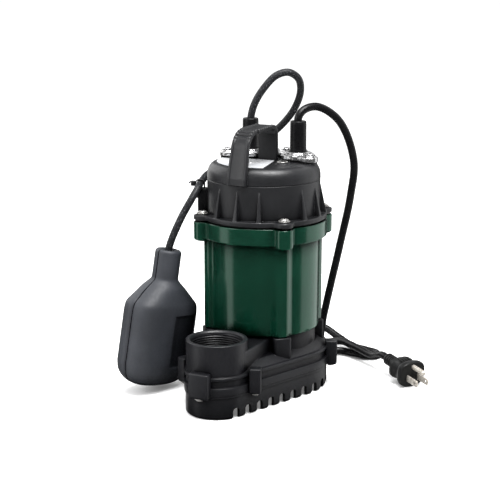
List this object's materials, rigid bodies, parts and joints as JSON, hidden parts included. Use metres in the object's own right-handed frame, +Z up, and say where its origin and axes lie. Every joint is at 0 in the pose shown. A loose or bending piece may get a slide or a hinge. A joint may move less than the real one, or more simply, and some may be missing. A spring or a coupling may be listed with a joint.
{
  "type": "submersible sump pump",
  "caption": "Submersible sump pump: finned strainer base with an upright discharge port, painted motor housing, capped top with carry handle, corded plug and tethered float switch.",
  "frame": {"origin": "on the floor, on the motor shaft's axis, in the middle of the inlet strainer's foot", "axes": "+Z up along the motor shaft, -Y toward the discharge port, +X to the right for someone facing the port, so the tethered float hangs at -X -Y and the plug lies at +X +Y"},
  "size_m": [0.2698, 0.2874, 0.3087],
  "materials": {
    "pump_plastic": "moulded charcoal, fine grain",
    "housing_paint": "dark green hammered paint",
    "float_plastic": "slate grey, moulded",
    "boot_rubber": "satin black",
    "cord_jacket": "satin black",
    "gasket_rubber": "matte",
    "chrome_plate": "polished",
    "zinc_screw": "zinc plated",
    "plain_steel": "ground",
    "laminated_steel": "stacked laminations",
    "blade_brass": "satin",
    "copper_winding": "varnished copper wire",
    "cast_bracket": "as cast",
    "seal_ceramic": "polished ceramic",
    "seal_carbon": "carbon and rubber",
    "switch_plastic": "moulded black",
    "label_film": "satin white, blank",
    "track_plastic": "natural white",
    "capacitor_case": "smooth"
  },
  "bodies": {
    "pump": {"strainer_base": "pump_plastic", "inlet_strainer": "pump_plastic", "volute_case": "pump_plastic", "motor_cap": "pump_plastic", "cable_tie": "pump_plastic", "volute_gasket": "gasket_rubber", "cap_gasket": "gasket_rubber", "base_screw_1": "zinc_screw", "base_screw_2": "zinc_screw", "base_screw_3": "zinc_screw", "base_screw_4": "zinc_screw", "base_screw_5": "zinc_screw", "housing_screw_1": "zinc_screw", "housing_screw_2": "zinc_screw", "housing_screw_3": "zinc_screw", "housing_screw_4": "zinc_screw", "cap_screw_1": "zinc_screw", "cap_screw_2": "zinc_screw", "cap_screw_3": "zinc_screw", "cap_screw_4": "zinc_screw", "oil_fill_plug": "zinc_screw", "seal_seat": "seal_ceramic", "motor_housing": "housing_paint", "bearing_bracket": "cast_bracket", "stator_core": "laminated_steel", "upper_winding": "copper_winding", "lower_winding": "copper_winding", "lower_bearing_outer": "plain_steel", "upper_bearing_outer": "plain_steel", "thermal_protector": "switch_plastic", "run_capacitor": "capacitor_case", "name_label": "label_film", "power_gland_boot": "boot_rubber", "float_gland_boot": "boot_rubber", "plug_body": "boot_rubber", "power_gland_plate": "chrome_plate", "power_gland_screw_1": "chrome_plate", "power_gland_screw_2": "chrome_plate", "float_gland_plate": "chrome_plate", "float_gland_screw_1": "chrome_plate", "float_gland_screw_2": "chrome_plate", "power_cord": "cord_jacket", "float_cord_fixed": "cord_jacket", "plug_line_blade": "blade_brass", "plug_neutral_blade": "blade_brass", "plug_ground_pin": "blade_brass"},
    "rotor": {"motor_shaft": "plain_steel", "rotor_core": "laminated_steel", "impeller": "pump_plastic", "seal_head": "seal_carbon", "lower_bearing_inner": "plain_steel", "upper_bearing_inner": "plain_steel"},
    "tether": {"float_cord_tether": "cord_jacket"},
    "float": {"float_front_shell": "float_plastic", "float_back_shell": "float_plastic", "ball_track": "track_plastic", "float_switch": "switch_plastic"},
    "ball": {"float_ball": "plain_steel"},
    "plunger": {"switch_plunger": "blade_brass"}
  },
  "joints": [
    {"name": "rotor_spin", "type": "hinge", "parent": "pump", "child": "rotor", "pos_m": [0, 0, 0.1], "axis": [0, 0, 1], "continuous": true},
    {"name": "tether_swing", "type": "hinge", "parent": "pump", "child": "tether", "pos_m": [-0.05774, -0.02392, 0.1995], "axis": [-0.7912, 0.6115, 0], "range_deg": [0, 55]},
    {"name": "float_tilt", "type": "hinge", "parent": "tether", "child": "float", "pos_m": [-0.0755, -0.0547, 0.1385], "axis": [-0.7912, 0.6115, 0], "range_deg": [0, 55]},
    {"name": "ball_roll", "type": "slide", "parent": "float", "child": "ball", "axis": [0.0936, 0.121, 0.9882], "range_m": [0, 0.022]},
    {"name": "plunger_press", "type": "slide", "parent": "float", "child": "plunger", "axis": [0.0936, 0.121, 0.9882], "range_m": [0, 0.0015]}
  ],
  "couplings": [
    {"joint": "float_tilt", "follows": "tether_swing", "ratio": 1},
    {"joint": "plunger_press", "follows": "ball_roll", "ratio": 0.068}
  ]
}
